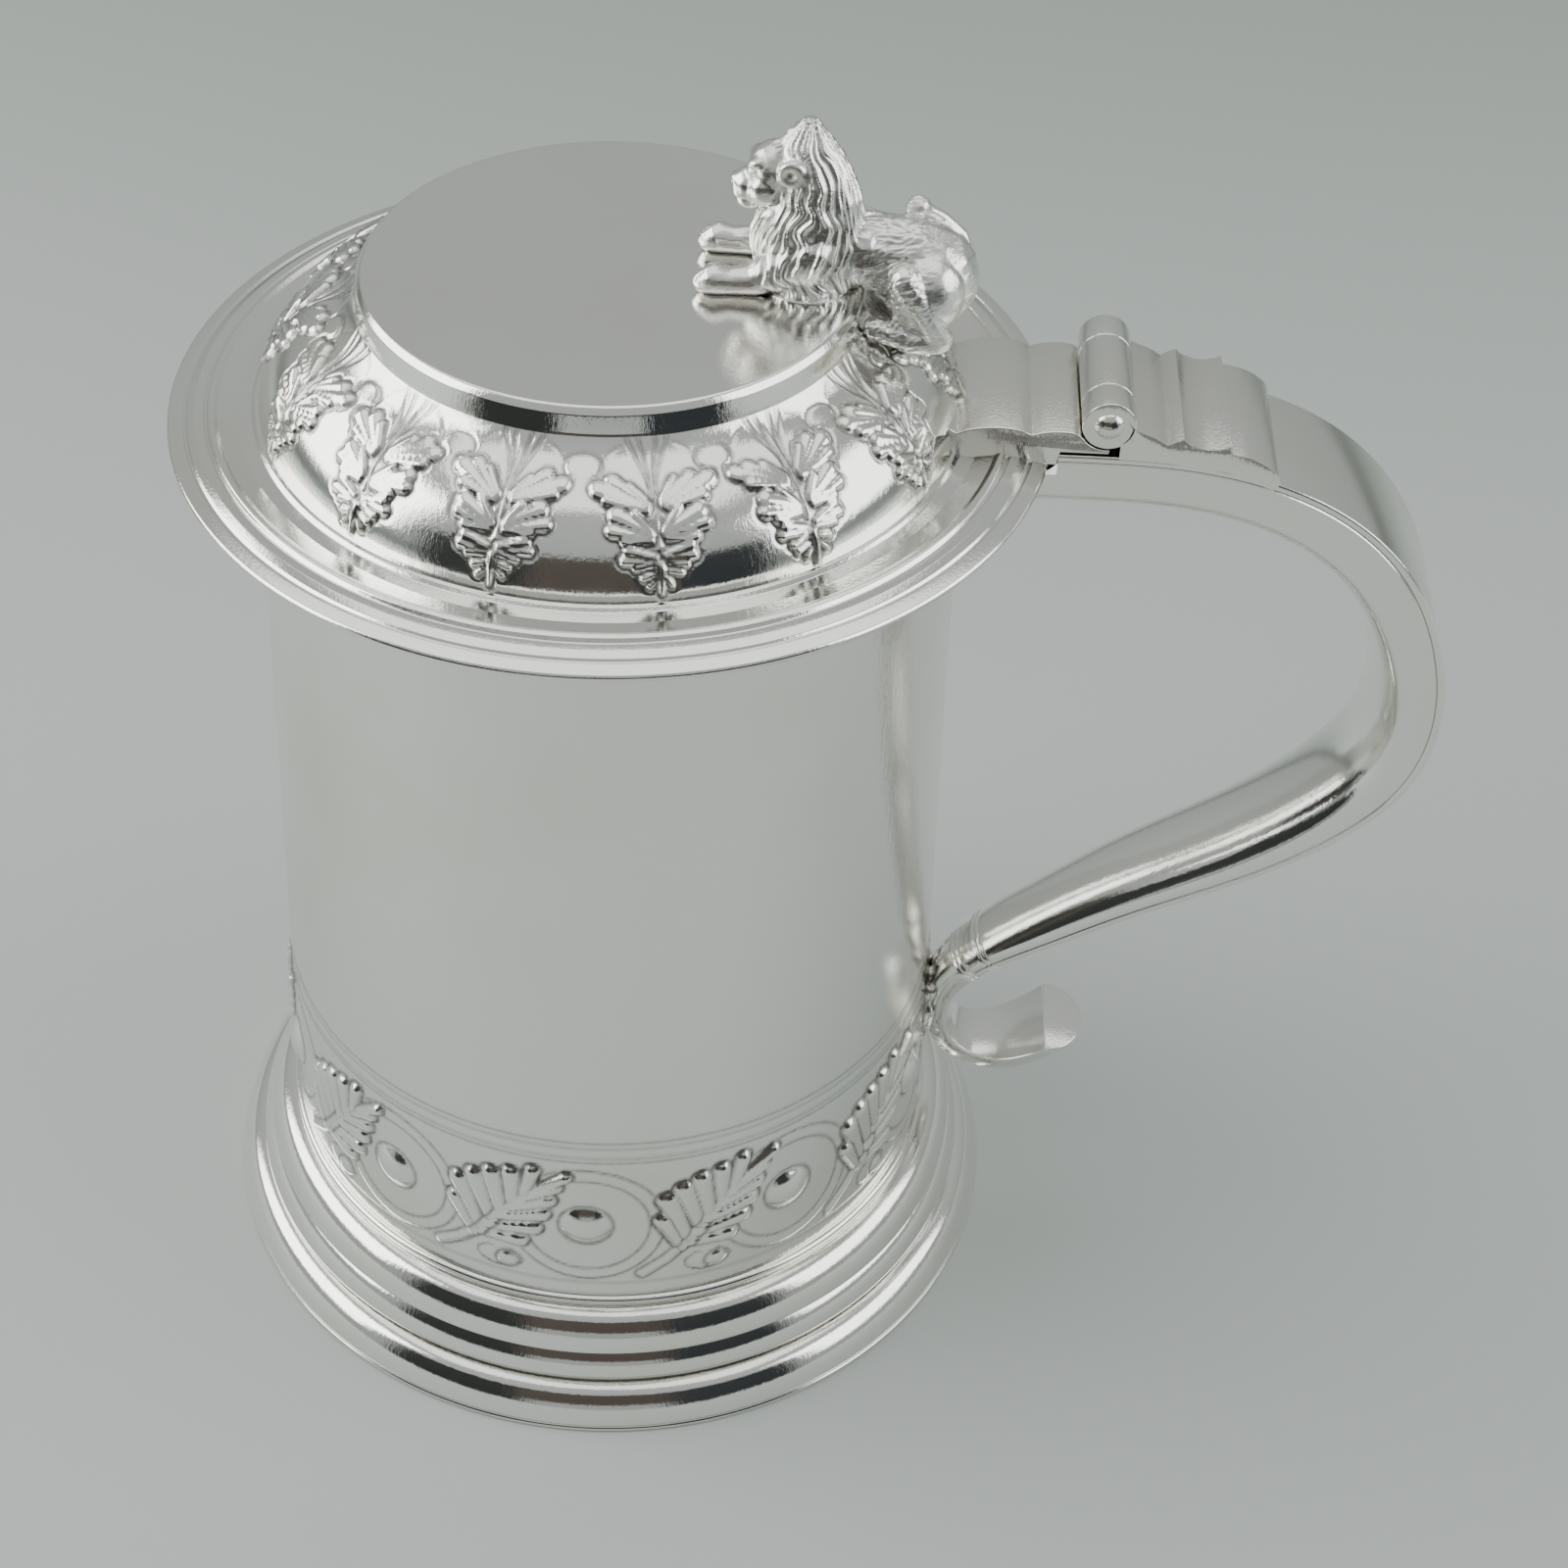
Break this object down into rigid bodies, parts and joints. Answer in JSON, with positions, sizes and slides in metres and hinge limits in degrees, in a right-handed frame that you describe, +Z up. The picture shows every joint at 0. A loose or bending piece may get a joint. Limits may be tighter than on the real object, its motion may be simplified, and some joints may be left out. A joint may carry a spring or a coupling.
{
  "type": "lidded tankard",
  "caption": "Polished silver tankard with a tapered drum, moulded foot, hollow S-handle, hinged domed lid and a couchant lion thumbpiece.",
  "frame": {"origin": "on the drum's axis, on the plane that the foot ring stands on", "axes": "+Z up along the drum's axis, +X from the axis towards the hinge and handle, +Y along the hinge pin"},
  "size_m": [0.1919, 0.1326, 0.2055],
  "materials": {
    "polished_silver": "mirror-polished silver",
    "worn_silver": "polished silver with a softer, handled surface",
    "chased_silver": "chased and cast silver, bright on the high points and darker in the recesses"
  },
  "bodies": {
    "vessel": {"drum_wall": "polished_silver", "drum_bottom": "polished_silver", "lip_band": "polished_silver", "foot_bead": "polished_silver", "foot_upper_moulding": "polished_silver", "foot_skirt": "polished_silver", "foot_rim": "polished_silver", "handle_shell": "polished_silver", "handle_back_strap": "polished_silver", "handle_joint_block": "polished_silver", "handle_scroll": "polished_silver", "scroll_shield": "polished_silver", "hinge_bracket": "worn_silver", "hinge_knuckle_near": "worn_silver", "hinge_knuckle_far": "worn_silver", "hinge_pin": "worn_silver"},
    "lid": {"lid_brim": "polished_silver", "lid_dome": "chased_silver", "lid_crown": "polished_silver", "lid_bezel": "polished_silver", "lid_hinge_plate": "worn_silver", "hinge_knuckle_centre": "worn_silver", "lion_thumbpiece": "chased_silver"}
  },
  "joints": [
    {"name": "lid_hinge", "type": "hinge", "parent": "vessel", "child": "lid", "pos_m": [0.0707, 0, 0.1659], "axis": [0, 1, 0], "range_deg": [0, 145]}
  ]
}
